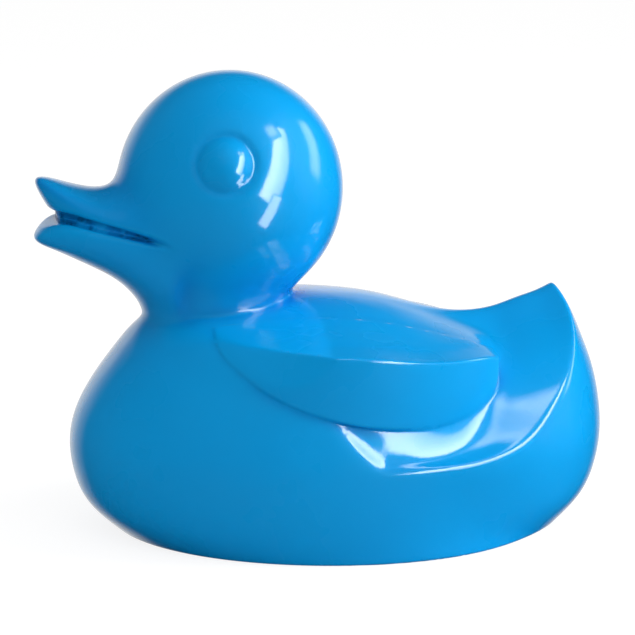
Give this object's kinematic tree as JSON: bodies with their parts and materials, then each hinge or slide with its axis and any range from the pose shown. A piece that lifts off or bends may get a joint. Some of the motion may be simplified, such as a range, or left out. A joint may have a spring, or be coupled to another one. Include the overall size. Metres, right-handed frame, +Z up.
{
  "type": "duck sculpture",
  "caption": "Glossy blue duck figure cast in one piece, with a tub-shaped body, upswept tail, raised wings, domed eyes and a parted bill; stands on a flat base.",
  "frame": {"origin": "the middle of the overall length and width, on the flat base the duck stands on", "axes": "+X runs along the duck towards its tail, so it looks along -X; +Y is across it, towards its right wing; +Z is up"},
  "size_m": [0.2586, 0.1758, 0.2074],
  "materials": {
    "blue_gloss": "cast resin under a glossy sky-blue lacquer, hand smoothed, with soft broad reflections"
  },
  "bodies": {
    "root": {"duck_body": "blue_gloss"}
  },
  "joints": []
}
